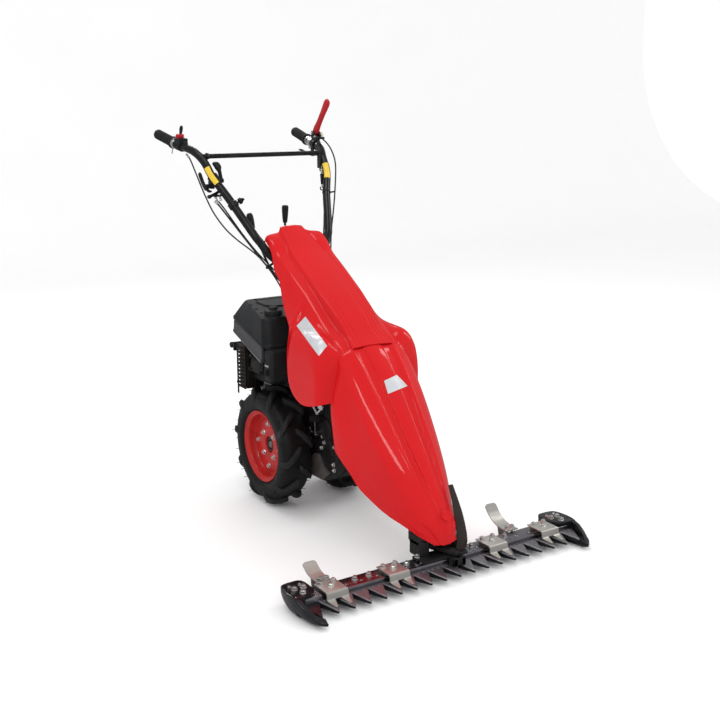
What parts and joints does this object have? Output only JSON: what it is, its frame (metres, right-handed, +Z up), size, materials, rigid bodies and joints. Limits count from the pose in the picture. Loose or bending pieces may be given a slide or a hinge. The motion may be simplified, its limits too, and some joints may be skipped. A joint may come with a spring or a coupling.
{
  "type": "walk-behind motor mower",
  "caption": "Two-wheel walk-behind motor mower with a wide reciprocating cutter bar in front, a long red sloping hood, an engine over the wheels and a tilting handlebar.",
  "frame": {"origin": "middle of the overall box, at ground level", "axes": "+X to the machine's left, +Y from the cutter bar to the handlebar grips at the rear, +Z up"},
  "size_m": [1.01, 1.449, 1.3419],
  "materials": {
    "redPaint": "gloss",
    "rimRed": "satin",
    "blackPaint": "satin",
    "rubber": "matte",
    "tyre": "matte",
    "plastic": "matte",
    "greyPlastic": "matte",
    "steel": "satin",
    "castAlloy": "matte",
    "alloy": "matte",
    "darkSteel": "satin",
    "hotSteel": "matte",
    "redPlastic": "gloss"
  },
  "bodies": {
    "machine": {"finger_bar": "darkSteel", "hold_down_1": "steel", "hold_down_2": "steel", "hold_down_3": "steel", "hold_down_4": "steel", "left_shoe": "blackPaint", "right_shoe": "blackPaint", "right_skid": "steel", "left_skid": "steel", "cutter_drive": "blackPaint", "guard_plate": "blackPaint", "drive_tube": "blackPaint", "gearbox": "castAlloy", "clutch_bell": "alloy", "nose_hood": "redPaint", "nose_plug": "redPaint", "upper_hood": "redPaint", "hood_stay": "blackPaint", "column": "blackPaint", "engine_mount": "blackPaint", "crankcase": "alloy", "cylinder": "alloy", "head_cover": "alloy", "muffler": "hotSteel", "muffler_guard": "hotSteel", "tank_cover": "plastic", "side_shield": "greyPlastic", "air_cleaner": "plastic", "carburettor": "alloy", "blower_housing": "blackPaint", "recoil_cover": "blackPaint", "throttle_cable": "rubber", "clutch_cable": "rubber", "lock_cable": "rubber", "brake_cable": "rubber"},
    "knife": {"knife": "steel"},
    "swing_arm": {"swing_arm": "darkSteel"},
    "axle": {"axle": "steel"},
    "left_wheel": {"rim_left": "rimRed", "tyre_left": "tyre"},
    "right_wheel": {"rim_right": "rimRed", "tyre_right": "tyre"},
    "handlebar": {"handlebar": "blackPaint", "grip_left": "rubber", "grip_right": "rubber", "left_lever_bracket": "blackPaint", "switch_housing": "plastic", "right_lever_perch": "blackPaint"},
    "red_lever": {"red_lever": "redPlastic"},
    "left_squeeze_lever": {"left_squeeze_lever": "blackPaint"},
    "throttle_knob": {"throttle_knob": "redPlastic"},
    "clutch_lever": {"clutch_lever": "blackPaint"},
    "speed_paddle": {"speed_paddle": "plastic"},
    "gear_rod": {"gear_rod": "blackPaint"},
    "speed_lever": {"speed_lever": "blackPaint"},
    "fuel_cap": {"fuel_cap": "plastic"},
    "recoil_grip": {"recoil_grip": "rubber"},
    "oil_dipstick": {"oil_dipstick": "plastic"}
  },
  "joints": [
    {"name": "knife_slide", "type": "slide", "parent": "machine", "child": "knife", "axis": [1, 0, 0], "range_m": [-0.0508, 0]},
    {"name": "swing_arm_turn", "type": "hinge", "parent": "machine", "child": "swing_arm", "pos_m": [0, -0.55905, 0.062], "axis": [0, 0, 1], "range_deg": [-39.6, 0]},
    {"name": "axle_spin", "type": "hinge", "parent": "machine", "child": "axle", "pos_m": [0, 0.17595, 0.202], "axis": [1, 0, 0], "continuous": true},
    {"name": "left_wheel_spin", "type": "hinge", "parent": "axle", "child": "left_wheel", "pos_m": [0.1325, 0.17595, 0.202], "axis": [1, 0, 0], "continuous": true},
    {"name": "right_wheel_spin", "type": "hinge", "parent": "axle", "child": "right_wheel", "pos_m": [-0.1325, 0.17595, 0.202], "axis": [1, 0, 0], "continuous": true},
    {"name": "handlebar_tilt", "type": "hinge", "parent": "machine", "child": "handlebar", "pos_m": [0, 0.21095, 0.8], "axis": [1, 0, 0], "range_deg": [-25, 0], "deforming": ["throttle_cable", "clutch_cable", "lock_cable", "brake_cable"]},
    {"name": "red_lever_turn", "type": "hinge", "parent": "handlebar", "child": "red_lever", "pos_m": [0.25404, 0.53336, 1.21869], "axis": [1, 0, 0], "range_deg": [-80, 0], "stiffness_Nm_per_rad": 0.3, "springref_deg": 17.19},
    {"name": "left_squeeze_turn", "type": "hinge", "parent": "handlebar", "child": "left_squeeze_lever", "pos_m": [0.25404, 0.53736, 1.14569], "axis": [1, 0, 0], "range_deg": [0, 9], "stiffness_Nm_per_rad": 2, "springref_deg": -11.46},
    {"name": "clutch_lever_turn", "type": "hinge", "parent": "handlebar", "child": "clutch_lever", "pos_m": [-0.23833, 0.40618, 1.05688], "axis": [1, 0, 0], "range_deg": [0, 7], "stiffness_Nm_per_rad": 2, "springref_deg": -11.46},
    {"name": "speed_paddle_turn", "type": "hinge", "parent": "handlebar", "child": "speed_paddle", "pos_m": [-0.18933, 0.39818, 1.07488], "axis": [1, 0, 0], "range_deg": [-30, 30]},
    {"name": "throttle_turn", "type": "hinge", "parent": "handlebar", "child": "throttle_knob", "pos_m": [-0.25836, 0.56975, 1.21023], "axis": [0, 0, 1], "range_deg": [-45, 45]},
    {"name": "gear_rod_slide", "type": "slide", "parent": "machine", "child": "gear_rod", "axis": [-0.0055, 0.7359, 0.677], "range_m": [-0.015, 0.015]},
    {"name": "speed_lever_turn", "type": "hinge", "parent": "machine", "child": "speed_lever", "pos_m": [-0.058, -0.02405, 0.593], "axis": [1, 0, 0], "range_deg": [-3.5, 3.5]},
    {"name": "fuel_cap_turn", "type": "hinge", "parent": "machine", "child": "fuel_cap", "pos_m": [-0.142, 0.14095, 0.652], "axis": [0, 0, 1], "range_deg": [0, 90]},
    {"name": "recoil_pull", "type": "slide", "parent": "machine", "child": "recoil_grip", "axis": [0, 1, 0], "range_m": [0, 0.6], "stiffness_N_per_m": 12, "springref_m": -0.1},
    {"name": "oil_dipstick_turn", "type": "hinge", "parent": "machine", "child": "oil_dipstick", "pos_m": [-0.0743, 0.13095, 0.44], "axis": [1, 0, 0], "range_deg": [0, 90]}
  ],
  "couplings": [
    {"joint": "swing_arm_turn", "follows": "knife_slide", "rad_per_m": 13.602}
  ]
}
